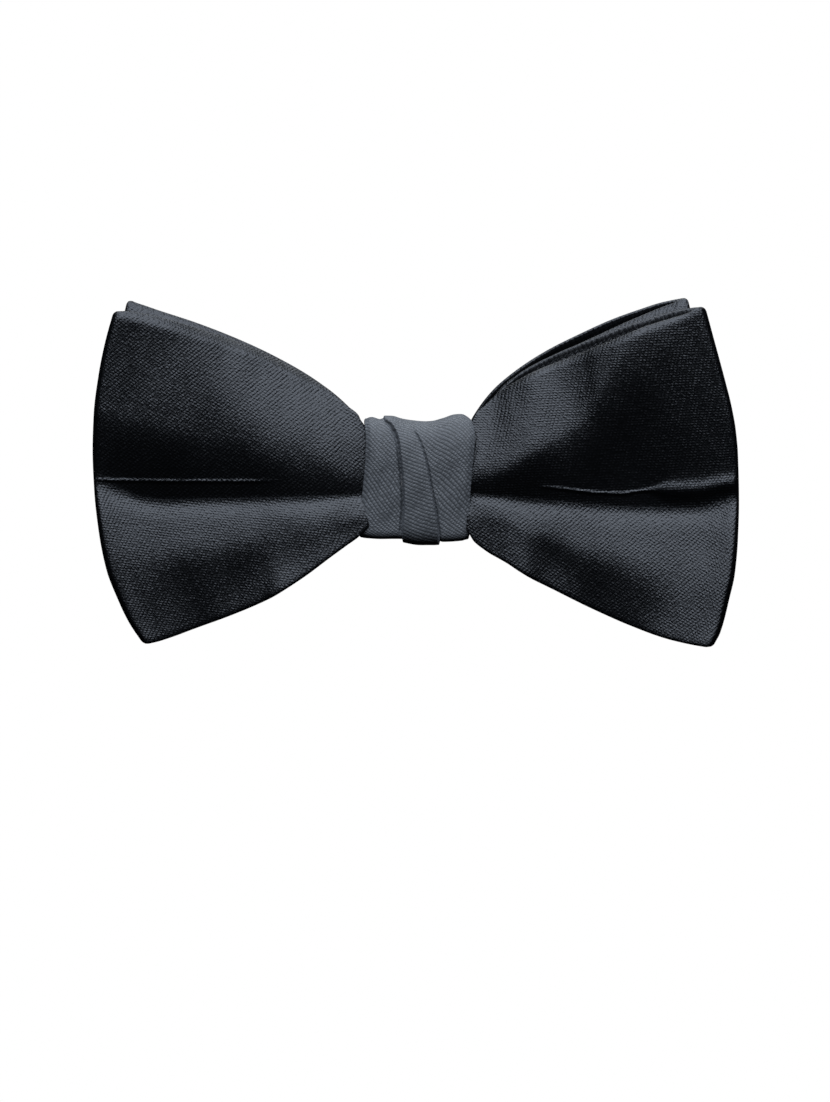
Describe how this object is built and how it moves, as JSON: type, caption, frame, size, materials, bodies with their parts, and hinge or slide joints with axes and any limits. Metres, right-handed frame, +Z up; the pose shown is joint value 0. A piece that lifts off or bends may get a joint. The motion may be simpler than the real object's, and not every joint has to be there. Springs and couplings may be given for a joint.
{
  "type": "bow tie",
  "caption": "Pre-tied clip-on bow tie: two folded satin bows, one over the other, held by a pleated knot wrap, with a sprung two-jaw collar clip behind.",
  "frame": {"origin": "centre of the collar clip's gripping plane, on the rear face of the base plate, half way between the two jaws, level with the middle of the knot", "axes": "+X to the viewer's right along the bow, +Y from the front of the bow towards the collar, +Z up as worn"},
  "size_m": [0.1197, 0.0219, 0.0641],
  "materials": {
    "satin_twill": "black satin twill with a soft sheen",
    "satin_lining": "plain black satin lining",
    "interlining": "matte grey woven interlining",
    "thread": "twisted black polyester sewing thread",
    "nickel_steel": "nickel plated pressed steel, fine brushed marks",
    "spring_steel": "drawn spring wire"
  },
  "bodies": {
    "bow": {"front_bow_face_panel": "satin_twill", "front_bow_interlining": "interlining", "front_bow_lining_panel": "satin_lining", "back_bow_face_panel": "satin_twill", "back_bow_interlining": "interlining", "back_bow_lining_panel": "satin_lining", "knot_wrap": "satin_twill", "knot_wrap_interlining": "interlining", "waist_binding_thread": "thread", "knot_closing_stitches": "thread", "clip_sewing_stitches": "thread", "clip_base_plate": "nickel_steel", "hinge_pin_left": "nickel_steel", "hinge_pin_right": "nickel_steel", "torsion_spring_left": "spring_steel", "torsion_spring_right": "spring_steel"},
    "left_jaw": {"clip_jaw_left": "nickel_steel"},
    "right_jaw": {"clip_jaw_right": "nickel_steel"}
  },
  "joints": [
    {"name": "left_jaw_hinge", "type": "hinge", "parent": "bow", "child": "left_jaw", "pos_m": [-0.018, 0.0022, 0], "axis": [0, 0, -1], "range_deg": [0, 40], "stiffness_Nm_per_rad": 0.04, "springref_deg": -45.84, "deforming": ["torsion_spring_left"]},
    {"name": "right_jaw_hinge", "type": "hinge", "parent": "bow", "child": "right_jaw", "pos_m": [0.018, 0.0022, 0], "axis": [0, 0, 1], "range_deg": [0, 40], "stiffness_Nm_per_rad": 0.04, "springref_deg": -45.84, "deforming": ["torsion_spring_right"]}
  ]
}
